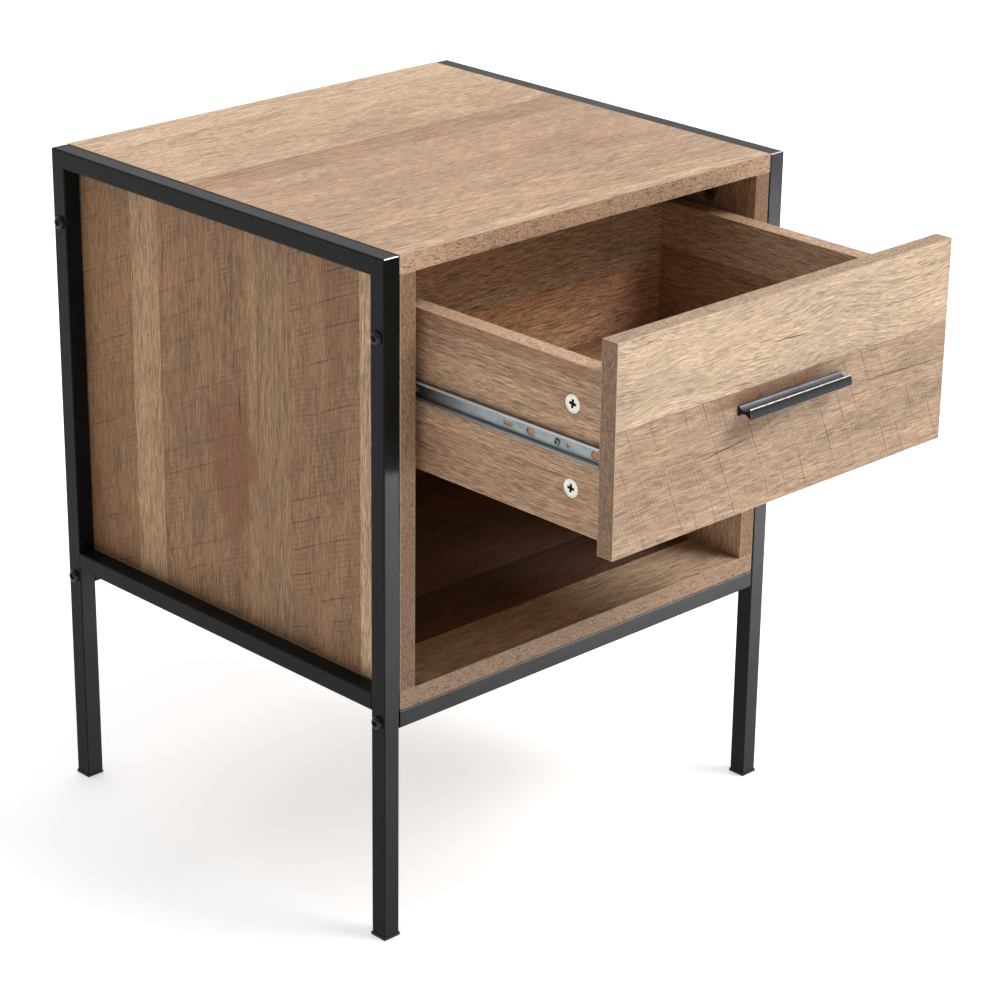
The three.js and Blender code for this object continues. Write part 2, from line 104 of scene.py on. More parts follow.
class Graph:
    """The node tree of one material, with short calls that add nodes to it."""

    def __init__(self, name, metallic=0.0, roughness=0.5, specular=0.5):
        self.material = bpy.data.materials.new(name)
        self.material.use_nodes = True
        self.tree = self.material.node_tree
        self.shader = self.tree.nodes["Principled BSDF"]
        self.shader.inputs["Metallic"].default_value = metallic
        self.shader.inputs["Roughness"].default_value = roughness
        self.shader.inputs["Specular IOR Level"].default_value = specular

    def link(self, value, socket):
        """Sets a socket to a number, or links a term to it."""
        if isinstance(value, Term):
            self.tree.links.new(value.socket, socket)
        else:
            socket.default_value = value

    def math(self, operation, *values):
        """One Math node over terms and numbers."""
        node = self.tree.nodes.new("ShaderNodeMath")
        node.operation = operation
        for value, socket in zip(values, node.inputs):
            self.link(value, socket)
        return Term(self, node.outputs[0])

    def place(self):
        """The point's own X, Y and Z in its object, in millimetres."""
        coordinates = self.tree.nodes.new("ShaderNodeTexCoord")
        split = self.tree.nodes.new("ShaderNodeSeparateXYZ")
        self.tree.links.new(coordinates.outputs["Object"], split.inputs[0])
        return [Term(self, socket) / MM for socket in split.outputs]

    def noise(self, x, y, z, detail=2.0, roughness=0.5):
        """Smooth noise about 0, mostly within -1 and 1, whose features are about one unit wide."""
        joined = self.tree.nodes.new("ShaderNodeCombineXYZ")
        for value, socket in zip((x, y, z), joined.inputs):
            self.link(value, socket)
        node = self.tree.nodes.new("ShaderNodeTexNoise")
        node.inputs["Scale"].default_value = 1.0
        node.inputs["Detail"].default_value = detail
        node.inputs["Roughness"].default_value = roughness
        self.tree.links.new(joined.outputs[0], node.inputs["Vector"])
        return (Term(self, node.outputs[0]) - 0.5) * 4.0

    def step(self, value, low, high):
        """0 at low, 1 at high, smooth between and held beyond both. Low may be the larger of the two."""
        node = self.tree.nodes.new("ShaderNodeMapRange")
        node.interpolation_type = "SMOOTHSTEP"
        for item, socket in zip((value, low, high), node.inputs):
            self.link(item, socket)
        return Term(self, node.outputs[0])

    def bands(self, value, stops):
        """A constant colour from each stop to the next. Stops are (position, colour) pairs from 0 to 1."""
        node = self.tree.nodes.new("ShaderNodeValToRGB")
        ramp = node.color_ramp
        ramp.interpolation = "CONSTANT"
        while len(ramp.elements) > 1:
            ramp.elements.remove(ramp.elements[-1])
        for index, (position, colour) in enumerate(stops):
            element = ramp.elements[0] if index == 0 else ramp.elements.new(position)
            element.position = position
            element.color = (*colour, 1.0)
        self.link(value, node.inputs[0])
        return Term(self, node.outputs[0])

    def channels(self, colour):
        """A colour's red, green and blue."""
        node = self.tree.nodes.new("ShaderNodeSeparateColor")
        self.link(colour, node.inputs[0])
        return [Term(self, socket) for socket in node.outputs]

    def mix(self, share, first, second):
        """A blend of two colours: share 0 is the first."""
        node = self.tree.nodes.new("ShaderNodeMix")
        node.data_type = "RGBA"
        for value, socket in ((share, node.inputs[0]), (first, node.inputs[6]), (second, node.inputs[7])):
            self.link((*value, 1.0) if isinstance(value, tuple) else value, socket)
        return Term(self, node.outputs[2])

    def gain(self, colour, factor):
        """A colour times a number."""
        node = self.tree.nodes.new("ShaderNodeVectorMath")
        node.operation = "SCALE"
        self.link(colour if isinstance(colour, Term) else Vector(colour), node.inputs[0])
        self.link(factor, node.inputs["Scale"])
        return Term(self, node.outputs[0])

    def finish(self, colour, roughness, height, relief):
        """Links the colour, the roughness and a bump that is relief millimetres for a height of 1."""
        bump = self.tree.nodes.new("ShaderNodeBump")
        bump.inputs["Strength"].default_value = 1.0
        bump.inputs["Distance"].default_value = relief * MM
        self.link(height, bump.inputs["Height"])
        self.tree.links.new(bump.outputs[0], self.shader.inputs["Normal"])
        self.link(colour, self.shader.inputs["Base Color"])
        self.link(roughness, self.shader.inputs["Roughness"])
        return self.material


def tint(red, green, blue):
    """A display colour of 0 to 255 as the linear colour that shaders use."""
    return tuple(
        c / 12.92 if c <= 0.04045 else ((c + 0.055) / 1.055) ** 2.4
        for c in (red / 255, green / 255, blue / 255)
    )


# ---- Printed oak ----

class Plank(NamedTuple):
    """One plank of the printed pattern, from start across the board to the next plank."""
    start: float  # mm from the middle of the board
    colour: tuple
    sawn: float = 0.0  # strength of the saw marks
    swirl: float = 0.0  # strength of the arched grain


class Crack(NamedTuple):
    """A dark crack in the print. Places are mm from the middle of the board."""
    along: float
    across: float
    length: float
    slope: float
    width: float


class Stain(NamedTuple):
    """A darker patch in the print, with a ragged edge. Places are mm from the middle of the board."""
    along: float
    across: float
    reach_along: float
    reach_across: float
    strength: float
    seam: float = 1000.0  # where it stops across the board, at a plank's edge


class Print(NamedTuple):
    """The printed pattern of one board."""
    along: str  # axis that the grain follows
    across: str
    planks: list
    cracks: list = []
    stains: list = []
    saw_slant: float = 0.35  # how far a saw mark moves along the grain for each mm across it
    saw_pitch: float = 22.0
    grain: float = 1.0  # strength of the dark strokes and streaks
    # The band's painted shade: lower where a board's edges lie in shade.
    band_painted_shade: float = 1.0  # brightness of the board's edge bands


SAND = (190, 162, 134)
TAN = (176, 147, 120)
UMBER = (160, 129, 102)
BROWN = (156, 122, 94)
RUST = (150, 114, 84)
HONEY = (208, 164, 131)

PRINTS = {
    "top_panel": Print("X", "Y", [
        Plank(-195.5, (188, 160, 132)), Plank(-184, (173, 143, 116), 0.2),
        Plank(-105, (170, 139, 113), 0.0, 0.5), Plank(14, (155, 124, 98)),
        Plank(46, (181, 152, 124), 0.0, 0.4), Plank(156, (189, 160, 131)),
    ], [Crack(141, -83, 24, 0.03, 0.7), Crack(-108, -91, 38, 0.02, 0.8)],
        [Stain(20, 64, 75, 26, 0.2), Stain(150, 70, 50, 22, 0.18), Stain(100, -66, 70, 26, 0.16)],
        grain=1.35),
    # The front plank is lightened as painted light where light reaches the shelf's front, and the second
    # plank is darkened as painted shade under the drawer.
    "bottom_panel": Print("X", "Y", [
        Plank(-195.5, (192, 164, 137)), Plank(-139, (106, 83, 67), 0.3), Plank(-74, (142, 116, 95)),
        Plank(30, RUST), Plank(120, UMBER),
    ], [Crack(62, -128, 34, 0.12, 0.9)], grain=1.3, band_painted_shade=0.835),
    "left_side_panel": Print("Z", "Y", [
        Plank(-195.5, (184, 153, 121)), Plank(-152, (141, 107, 79), 1.0), Plank(-73, (142, 111, 83)),
        Plank(-34, (150, 116, 85)), Plank(-22, (140, 106, 77), 0.8), Plank(83.5, (165, 133, 101)),
        Plank(118, (138, 104, 74), 0.8),
    ], [Crack(14, -12.5, 34, 0.05, 1.3), Crack(105, -4.5, 92, 0.01, 0.8), Crack(110, 79, 90, -0.02, 0.5)],
        [Stain(-34, -2, 64, 34, 0.6), Stain(-150, 150, 60, 60, 0.3), Stain(120, -130, 46, 30, 0.25)],
        saw_slant=-0.45, saw_pitch=21.5, grain=1.4, band_painted_shade=0.91),
    "right_side_panel": Print("Z", "Y", [
        Plank(-195.5, TAN), Plank(-120, BROWN, 0.9), Plank(-60, UMBER), Plank(20, SAND),
        Plank(48, BROWN, 0.8), Plank(140, TAN),
    ], [Crack(40, 80, 44, -0.04, 0.9)], [Stain(30, 90, 50, 26, 0.35)],
        saw_slant=0.45, saw_pitch=21.0, grain=1.4, band_painted_shade=0.91),
    # The back panel's planks are dark: painted shade inside the case.
    "back_panel": Print("X", "Z", [
        Plank(-175, (78, 60, 48)), Plank(-80, (82, 63, 49), 0.5), Plank(10, (104, 82, 65)), Plank(90, UMBER),
    ], grain=1.3),
    "drawer_front": Print("X", "Z", [
        Plank(-80, (175, 148, 124), 0.7), Plank(14.7, (196, 171, 146), 0.0, 1.0),
    ], [Crack(-70, -26, 60, 0.1, 0.8), Crack(0, 43, 36, -0.06, 0.9), Crack(128, -12, 92, -0.03, 0.8),
        Crack(130, 43, 60, -0.02, 0.5)],
        [Stain(-16, 10, 72, 10, 0.62, 14.7), Stain(-44, -14, 34, 14, 0.25), Stain(-130, -34, 80, 44, 0.14)],
        saw_slant=-0.42, saw_pitch=19.0, grain=1.1, band_painted_shade=0.84),
    "drawer_back": Print("X", "Z", [Plank(-62.5, HONEY, 0.5), Plank(14.5, (204, 180, 154))], grain=1.6),
    "drawer_left_side": Print("Y", "Z", [
        Plank(-62.5, (166, 133, 106)), Plank(-24, (176, 144, 115)), Plank(34, (168, 135, 109)),
        Plank(52, (150, 117, 92)),
    ], grain=1.35),
    "drawer_right_side": Print("Y", "Z", [
        Plank(-62.5, (168, 133, 107)), Plank(24, (194, 167, 142)),
    ], grain=1.4),
    "drawer_floor": Print("X", "Y", [Plank(-132.5, RUST), Plank(-30, BROWN), Plank(60, RUST)], grain=1.3),
}

STREAK = tint(84, 56, 42)
SAW_MARK = tint(74, 52, 48)
CRACK = tint(48, 34, 30)
STAIN = tint(120, 77, 50)


def saw_marks(graph, along, across, depth, style):
    """Thin slanted lines across the grain, broken and uneven in strength, as a band saw leaves them."""
    wander = graph.noise(along / 130, across / 60, depth) * 1.4
    phase = (along - across * style.saw_slant + across * across / 9000 + wander) / style.saw_pitch
    index = graph.math("FLOOR", phase)
    offset = graph.noise(index * 5.3, 0.0, depth) * 0.25 + 0.5
    from_line = graph.math("ABSOLUTE", phase - index - offset) * style.saw_pitch
    line = graph.step(from_line, 0.75, 0.1)
    strength = graph.step(graph.noise(index * 3.7, across / 34, depth), -0.5, 0.5)
    broken = graph.step(graph.noise(along / 5, across / 6, depth + 2), -1.5, -0.2)
    fine_phase = phase * 5.0
    fine = graph.step(graph.math("ABSOLUTE", fine_phase - graph.math("FLOOR", fine_phase) - 0.5), 0.16, 0.02)
    patch = graph.step(graph.noise(along / 34, across / 24, depth + 4), -0.3, 0.5)
    return (line * strength + fine * patch * 0.55) * broken


def cracks(graph, along, across, depth, style):
    """The print's cracks: each is a wavering line that is widest in its middle."""
    total = 0.0
    waver = graph.noise(along / 9, depth, 0.0) * 0.7
    for crack in style.cracks:
        run = along - crack.along
        off = graph.math("ABSOLUTE", across - crack.across - run * crack.slope - waver)
        half_width = (1.0 - run * run / (crack.length / 2) ** 2) * (crack.width / 2)
        total = graph.step(half_width - off, -0.2, 0.2) + total
    return total


def stains(graph, along, across, cloud, style):
    """The print's darker patches."""
    total = 0.0
    for stain in style.stains:
        run = (along - stain.along) / stain.reach_along
        off = (across - stain.across) / stain.reach_across
        distance = graph.math("SQRT", run * run + off * off) + cloud * 0.3
        inside = graph.step(across, stain.seam, stain.seam - 0.8) * stain.strength
        total = graph.step(distance, 1.1, 0.5) * inside + total
    return total


def seams(graph, across, style):
    """Thin dark lines where one plank meets the next."""
    total = 0.0
    for plank in style.planks[1:]:
        total = graph.step(graph.math("ABSOLUTE", across - plank.start), 0.8, 0.1) + total
    return total


def laminate(node):
    """The printed oak of one board, with seams, grain, pores, saw marks, stains and cracks."""
    style = PRINTS[node]
    graph = Graph(f"{node}_laminate", specular=0.2)
    low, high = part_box(node)
    middle = (low + high) / 2 / MM
    size = (high - low) / MM
    place = dict(zip(AXES, graph.place()))
    thin = next(axis for axis in AXES if axis not in (style.along, style.across))
    along = place[style.along] - middle[AXES.index(style.along)]
    across = place[style.across] - middle[AXES.index(style.across)]
    width = size[AXES.index(style.across)]

    ragged = across + graph.noise(along / 6, across / 2, 0.0) * 0.15
    share = ragged / width + 0.5
    starts = [max(0.0, plank.start / width + 0.5) for plank in style.planks]
    base = graph.bands(share, [(s, tint(*p.colour)) for s, p in zip(starts, style.planks)])
    facts = [(p.sawn, (7 * i % 5) / 5, p.swirl) for i, p in enumerate(style.planks)]
    sawn, seed, swirl = graph.channels(graph.bands(share, list(zip(starts, facts))))
    depth = (place[thin] - middle[AXES.index(thin)]) * 0.7 + seed * 31

    bow = graph.noise(along / 110, across / 48, depth + 40, 1)
    waver = graph.noise(along / 24, across / 10, depth + 50, 1)
    flow = across + bow * (swirl * 6 + 1.5) + waver * 0.5
    broad = graph.noise(along / 150, flow / 26, depth, 2)
    cloud = graph.noise(along / 34, across / 20, depth + 3, 3)
    streak = graph.noise(along / 95, flow / 7, depth + 5, 3, 0.6)
    fibre = graph.noise(along / 30, flow / 1.5, depth + 8, 2, 0.6)
    fine = graph.noise(along / 9, flow / 0.5, depth + 21, 1)
    density = graph.step(cloud * 0.6 + streak * 0.6, -0.9, 0.6) * 0.65 + 0.35
    strokes = graph.step(graph.noise(along / 20, flow / 0.7, depth + 13, 1, 0.7), 0.32, 0.5) * density
    pores = graph.step(graph.noise(along / 4.5, flow / 0.8, depth + 30, 1), 0.35, 0.55)
    dark_streak = graph.step(streak + cloud * 0.4, 0.3, 1.5)

    marks = saw_marks(graph, along, across, depth, style) * sawn
    split = cracks(graph, along, across, depth, style)
    patch = stains(graph, along, across, cloud, style)
    texture = (fibre * 0.24 + fine * 0.34) * style.grain
    level = broad * 0.14 + cloud * 0.12 + streak * 0.18 + texture + 1.12
    colour = graph.gain(base, graph.math("MAXIMUM", level, 0.3))
    colour = graph.mix(graph.math("MINIMUM", dark_streak * (0.35 * style.grain), 0.8), colour, STREAK)
    colour = graph.mix(pores * (0.2 * style.grain), colour, STREAK)
    colour = graph.mix(graph.math("MINIMUM", strokes * (0.5 * style.grain), 0.85), colour, STREAK)
    colour = graph.mix(seams(graph, ragged, style) * 0.22, colour, STREAK)
    colour = graph.mix(patch, colour, STAIN)
    colour = graph.mix(graph.math("MINIMUM", marks * 0.75, 0.85), colour, SAW_MARK)
    colour = graph.mix(graph.math("MINIMUM", split, 0.85), colour, CRACK)
    height = fibre * 0.4 + fine * 0.3 - strokes * 0.6 - marks * 0.8 - split
    return graph.finish(colour, cloud * 0.04 + fibre * 0.03 + 0.6, height, 0.07)


# Painted light and shade by the axis a band runs along: bands along X, on edges lit from above and in front,
# are lighter, and bands along Z, on edges in shade, are darker.
BAND_TINTS = {"X": (186, 154, 127), "Y": (172, 141, 115), "Z": (151, 120, 95)}


def edge_band(node, axis):
    """The speckled band glued to a board's thin edges, with its grain along one axis. Its tone has painted
    light and shade, by axis and by board.
    """
    graph = Graph(f"{node}_edge_band_{axis.lower()}", specular=0.2)
    place = dict(zip(AXES, graph.place()))
    first, second = (place[other] for other in AXES if other != axis)
    along = place[axis]
    drift = graph.noise(along / 60, first / 20, second / 20)
    speckle = graph.noise(along / 2.6, first / 1.2, second / 1.2, 3, 0.7)
    dash = graph.step(graph.noise(along / 6, first / 1.3, second / 1.3, 2), 0.25, 0.7)
    # The band's tone times the board's painted shade.
    shade = [c * PRINTS[node].band_painted_shade for c in BAND_TINTS[axis]]
    colour = graph.gain(tint(*shade), drift * 0.1 + speckle * 0.68 + 1.14)
    colour = graph.mix(dash * 0.65, colour, tint(96, 68, 56))
    return graph.finish(colour, speckle * 0.03 + 0.58, speckle - dash, 0.03)


def arris_wear_and_highlight():
    """The corner where the band meets the face: lighter from wear and from a painted highlight along the
    edge.
    """
    graph = Graph("worn_arris_and_highlight", specular=0.2)
    x, y, z = graph.place()
    wear = graph.noise(x / 8, y / 8, z / 8, 3, 0.6)
    nick = graph.step(graph.noise(x / 3, y / 3, z / 3, 2), 0.7, 1.2)
    colour = graph.gain(tint(192, 166, 138), wear * 0.1 + 1.0)
    colour = graph.mix(nick * 0.5, colour, tint(130, 100, 80))
    return graph.finish(colour, wear * 0.05 + 0.58, wear, 0.03)


def chipboard():
    """The raw core that shows in grooves and bores."""
    graph = Graph("chipboard_core", specular=0.2)
    x, y, z = graph.place()
    chips = graph.noise(x / 1.6, y / 1.6, z / 1.6, 3, 0.7)
    dark = graph.step(graph.noise(x / 2.4, y / 2.4, z / 2.4 + 9, 1), 0.5, 0.9)
    colour = graph.gain(tint(186, 158, 118), chips * 0.14 + 1.0)
    colour = graph.mix(dark * 0.5, colour, tint(120, 90, 60))
    return graph.finish(colour, chips * 0.05 + 0.85, chips, 0.12)


def hardboard():
    """The bare brown back of the thin panels."""
    graph = Graph("bare_hardboard", specular=0.2)
    x, y, z = graph.place()
    fibre = graph.noise(x / 1.2, y / 1.2, z / 1.2, 3, 0.7)
    cloud = graph.noise(x / 45, y / 45, z / 45, 3)
    colour = graph.gain(tint(132, 98, 68), fibre * 0.12 + cloud * 0.08 + 1.0)
    return graph.finish(colour, fibre * 0.05 + 0.75, fibre, 0.06)


# ---- Metals and plastic ----

def powder_coat():
    """Fine black powder coat with a slight orange peel, greyer where it has been handled."""
    graph = Graph("powder_coat", specular=0.1)
    x, y, z = graph.place()
    peel = graph.noise(x / 0.8, y / 0.8, z / 0.8, 2)
    handled = graph.noise(x / 60, y / 60, z / 60, 3)
    colour = graph.gain(tint(19, 20, 20), handled * 0.16 + peel * 0.06 + 1.0)
    return graph.finish(colour, handled * 0.05 + peel * 0.02 + 0.43, peel, 0.008)


def painted_glint_steel():
    """Bright metal as a painted highlight on the corner above each leg and on the handle's upper front edge.
    """
    graph = Graph("painted_highlight_corner", metallic=1.0)
    x, y, z = graph.place()
    scratch = graph.noise(x / 0.3, y / 2, z / 2, 2)
    highlight_mottle = graph.noise(x / 5, y / 5, z / 5, 2)
    colour = graph.gain(tint(176, 178, 178), highlight_mottle * 0.2 + scratch * 0.1 + 1.0)
    return graph.finish(colour, highlight_mottle * 0.05 + 0.3, scratch, 0.004)


def black_plastic():
    """Moulded black plastic with a fine grain and scuffs."""
    graph = Graph("black_plastic", specular=0.4)
    x, y, z = graph.place()
    grain = graph.noise(x / 0.5, y / 0.5, z / 0.5, 2)
    scuff = graph.noise(x / 7, y / 7, z / 2, 3)
    colour = graph.gain(tint(30, 30, 30), scuff * 0.25 + 1.0)
    return graph.finish(colour, scuff * 0.08 + 0.6, grain, 0.02)


def oxide_steel():
    """Blackened bolt steel: oily black with brown-grey patches and fine turning marks."""
    graph = Graph("black_oxide", metallic=0.6)
    x, y, z = graph.place()
    patch = graph.noise(x / 3, y / 3, z / 3, 3)
    turned = graph.noise(graph.math("SQRT", y * y + z * z) / 0.12, x / 0.3, 0.0, 1)
    colour = graph.gain(tint(36, 36, 38), patch * 0.3 + 1.0)
    return graph.finish(colour, patch * 0.08 + 0.34, turned + patch, 0.006)


def zinc_plate():
    """Bright blue-white zinc on rolled strip, with rolling lines along Y and dull patches."""
    graph = Graph("zinc_plate", metallic=1.0)
    x, y, z = graph.place()
    rolled = graph.noise(y / 40, z / 0.35, x / 0.35, 2)
    dull = graph.noise(y / 14, z / 6, x / 6, 3)
    spangle = graph.noise(x / 1.5, y / 2.5, z / 1.5, 2)
    colour = graph.mix(graph.step(dull, -0.8, 1.0), tint(146, 152, 153), tint(128, 135, 137))
    colour = graph.gain(colour, rolled * 0.04 + spangle * 0.03 + 1.0)
    return graph.finish(colour, dull * 0.03 + rolled * 0.02 + 0.42, rolled, 0.002)


def painted_highlight_zinc():
    """Bright zinc as a painted highlight on the edges that the balls run past."""
    graph = Graph("painted_highlight_zinc", metallic=0.4)
    x, y, z = graph.place()
    highlight_mottle = graph.noise(y / 30, z / 0.4, x / 0.4, 2)
    worn = graph.noise(y / 9, z / 3, x / 3, 3)
    colour = graph.gain(tint(232, 236, 238), highlight_mottle * 0.06 + worn * 0.05 + 1.0)
    return graph.finish(colour, worn * 0.04 + 0.35, highlight_mottle, 0.002)


def cast_zinc(name, shade, metallic, specular, uneven, roughness):
    """Die-cast zinc with a pebbled skin and faint stains."""
    graph = Graph(name, metallic=metallic, specular=specular)
    x, y, z = graph.place()
    pebble = graph.noise(x / 0.45, y / 0.45, z / 0.45, 2)
    stain = graph.noise(x / 5, y / 5, z / 5, 3)
    colour = graph.gain(shade, stain * uneven + pebble * (uneven / 2) + 1.0)
    return graph.finish(colour, stain * 0.05 + roughness, pebble, 0.02)


def recess_painted_shade():
    """Painted shade for the bottom of a driver recess, with an oily grime."""
    graph = Graph("recess_painted_shade", metallic=0.3, specular=0.3)
    x, y, z = graph.place()
    grime = graph.noise(x / 0.7, y / 0.7, z / 0.7, 3)
    colour = graph.gain(tint(70, 52, 40), grime * 0.4 + 1.0)
    return graph.finish(colour, grime * 0.08 + 0.7, grime, 0.03)


def cut_end():
    """The sawn, blackened ends of the handle."""
    graph = Graph("blackened_end", specular=0.25)
    x, y, z = graph.place()
    sawn = graph.noise(x / 2, y / 2, z / 0.15, 2)
    colour = graph.gain(tint(20, 20, 21), sawn * 0.2 + 1.0)
    return graph.finish(colour, sawn * 0.05 + 0.6, sawn, 0.004)


def gunmetal(name, shade):
    """Dark anodised aluminium with drawing lines along X."""
    graph = Graph(name, metallic=0.85)
    x, y, z = graph.place()
    drawn = graph.noise(x / 60, y / 0.2, z / 0.2, 2)
    cloud = graph.noise(x / 20, y / 8, z / 8, 2)
    colour = graph.gain(shade, drawn * 0.1 + cloud * 0.1 + 1.0)
    return graph.finish(colour, drawn * 0.03 + cloud * 0.03 + 0.3, drawn, 0.003)


ARRIS_WEAR_AND_HIGHLIGHT = arris_wear_and_highlight()
CORE = chipboard()
BARE_BACK = hardboard()
COAT = powder_coat()
PLASTIC = black_plastic()
OXIDE = oxide_steel()
ZINC = zinc_plate()
NICKEL = cast_zinc("satin_nickel", tint(224, 222, 207), 0.55, 0.5, 0.08, 0.42)  # the drawer's cams
RECESS = recess_painted_shade()
GUNMETAL = gunmetal("gunmetal", tint(114, 117, 124))
# A darker copy of the gunmetal for the handle's forward-facing faces: painted shade.
SHADED_FLANGE = gunmetal("gunmetal_painted_shade", tint(56, 58, 60))
GLINT_STEEL = painted_glint_steel()
CUT_END = cut_end()
# A darker copy of the cams' zinc: painted shade for the cams inside the case.
CAM_ZINC_SHADED = cast_zinc("cam_zinc_painted_shade", tint(118, 104, 88), 0.4, 0.4, 0.1, 0.5)  # the case's cams
PAINTED_HIGHLIGHT_ZINC = painted_highlight_zinc()


# ---- Making pieces ----

def show(item):
    """Puts an object in the scene."""
    bpy.context.scene.collection.objects.link(item)


def join_loops(bm, loops):
    """Faces from each loop of vertices to the next, as one list for each pair of loops."""
    rows = []
    for first, second in zip(loops, loops[1:]):
        row = []
        for step in range(len(first)):
            after = (step + 1) % len(first)
            row.append(bm.faces.new((first[step], first[after], second[after], second[step])))
        rows.append(row)
    return rows


def new_piece(name, mesh, materials, sharp=None):
    """Puts a mesh in the scene. Pieces may share a mesh, which takes its materials the first time. Sharp is
    the angle, in degrees, above which an edge stays sharp; without it the faces are flat."""
    piece = bpy.data.objects.new(name, mesh)
    show(piece)
    if not mesh.materials:
        for material in materials:
            mesh.materials.append(material)
    if sharp is not None:
        for face in mesh.polygons:
            face.use_smooth = True
        mesh.set_sharp_from_angle(angle=math.radians(sharp))
    return piece


def declare(piece, body, nodes):
    """Says which body a piece rides on and the CAD nodes that it replaces."""
    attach(piece, body)
    if nodes:
        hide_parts(*nodes)


def add_piece(name, mesh, materials, body, nodes=(), sharp=None):
    """A piece whose mesh is already in its place."""
    piece = new_piece(name, mesh, materials, sharp)
    if sharp is not None:
        weighted = piece.modifiers.new("face_weighted_normals", "WEIGHTED_NORMAL")
        weighted.keep_sharp = True
    declare(piece, body, nodes)
    return piece


def mesh_from(bm, name):
    """A finished bmesh as a mesh, with its faces turned outwards."""
    bmesh.ops.recalc_face_normals(bm, faces=bm.faces)
    mesh = bpy.data.meshes.new(name)
    bm.to_mesh(mesh)
    bm.free()
    return mesh


def planes_of(vertex, low, high):
    """Which of the six planes of a box a vertex lies on."""
    found = set()
    for axis in range(3):
        for bound in (low, high):
            if abs(vertex.co[axis] - bound[axis]) < 0.01 * MM:
                found.add((axis, bound is high))
    return found


def rounded_node(node, radius, segments, only_along=None):
    """A CAD node's own shape with the edges of its box rounded: all of them, or those along one axis."""
    low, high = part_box(node)
    bm = bmesh.new()
    bm.from_mesh(NODES[node].data)
    bmesh.ops.remove_doubles(bm, verts=bm.verts, dist=0.001 * MM)
    bmesh.ops.dissolve_limit(bm, angle_limit=math.radians(1), verts=bm.verts, edges=bm.edges)
    edges = []
    for edge in bm.edges:
        first, second = edge.verts
        shared = planes_of(first, low, high) & planes_of(second, low, high)
        run = (second.co - first.co).normalized()
        wanted = only_along is None or abs(run[AXES.index(only_along)]) > 0.99
        if len(shared) >= 2 and wanted:
            edges.append(edge)
    bmesh.ops.bevel(
        bm, geom=edges, offset=radius * MM, segments=segments, profile=0.5, affect="EDGES",
        clamp_overlap=True)
    return bm


def body_of(node):
    """The body that a CAD node rides on."""
    return NODES[node]["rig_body"]


# ---- Boards ----

BOARD_CORNER = 0.4


def add_board(node, bare_side=None):
    """A board with printed faces, banded edges, worn corners with a painted highlight, and raw grooves and
    bores.
    Bare_side is the (axis, high side) of a thin panel's unprinted face."""
    style = PRINTS[node]
    low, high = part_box(node)
    bm = rounded_node(node, BOARD_CORNER, 2)
    bm.normal_update()
    thin = next(axis for axis in AXES if axis not in (style.along, style.across))
    bands = {axis: edge_band(node, axis) for axis in (style.along, style.across)}
    materials = [laminate(node), *bands.values(), ARRIS_WEAR_AND_HIGHLIGHT, CORE, BARE_BACK]
    for face in bm.faces:
        axis = max(range(3), key=lambda k: abs(face.normal[k]))
        centre = face.calc_center_median()
        outer = min(abs(centre[axis] - low[axis]), abs(centre[axis] - high[axis])) < 0.01 * MM
        if abs(face.normal[axis]) < 0.99:
            kind = ARRIS_WEAR_AND_HIGHLIGHT if is_near_box(centre, low, high) else CORE
        elif not outer:
            kind = CORE
        elif AXES[axis] == thin:
            is_bare = bare_side == (AXES[axis], face.normal[axis] > 0)
            kind = BARE_BACK if is_bare else materials[0]
        else:
            kind = bands[next(other for other in bands if other != AXES[axis])]
        face.material_index = materials.index(kind)
    add_piece(f"{node}_board", mesh_from(bm, f"{node}_board"), materials, body_of(node), [node])


def is_near_box(point, low, high):
    """Whether a point is within a board corner's rounding of two of the box's planes."""
    reach = BOARD_CORNER * MM
    near = [min(point[k] - low[k], high[k] - point[k]) < reach for k in range(3)]
    return sum(near) >= 2


for board in (
    "top_panel", "bottom_panel", "left_side_panel", "right_side_panel",
    "drawer_front", "drawer_back", "drawer_left_side", "drawer_right_side",
):
    add_board(board)
add_board("back_panel", ("Y", True))
add_board("drawer_floor", ("Z", False))


# ---- Frame ----

TUBE_CORNER = 1.4
GROUND_CORNER = 0.5  # how far the corner above each leg is ground back, at 45 degrees
TUBES = bpy.data.collections.new("frame_tubes")  # what the low card of light falls on


def grind_top_corners(bm):
    """Cuts the sharp front and rear corners off the top of a side frame's tube."""
    frame_low, frame_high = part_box("left_front_leg")[0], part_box("left_rear_leg")[1]
    for facing, y in ((-1, frame_low.y), (1, frame_high.y)):
        normal = Vector((0, facing, 1)).normalized()
        corner = Vector((0, y, frame_high.z))
        cut = bmesh.ops.bisect_plane(
            bm, geom=[*bm.verts, *bm.edges, *bm.faces], dist=0.001 * MM,
            plane_co=corner - normal * GROUND_CORNER * MM, plane_no=normal, clear_outer=True)
        rim = [item for item in cut["geom_cut"] if isinstance(item, bmesh.types.BMEdge)]
        if rim:
            ground = bmesh.ops.holes_fill(bm, edges=rim, sides=0)["faces"]
            for face in ground:
                # The cut faces take the bright metal, a painted highlight along the corner.
                face.material_index = 1


def add_tube(node, axis):
    """A steel tube with rounded long corners."""
    bm = rounded_node(node, TUBE_CORNER, 5, axis)
    if node.endswith(("_leg", "_top_rail")):
        grind_top_corners(bm)
    tube = add_piece(
        f"{node}_tube", mesh_from(bm, f"{node}_tube"), [COAT, GLINT_STEEL], body_of(node),
        [node], sharp=25)
    TUBES.objects.link(tube)


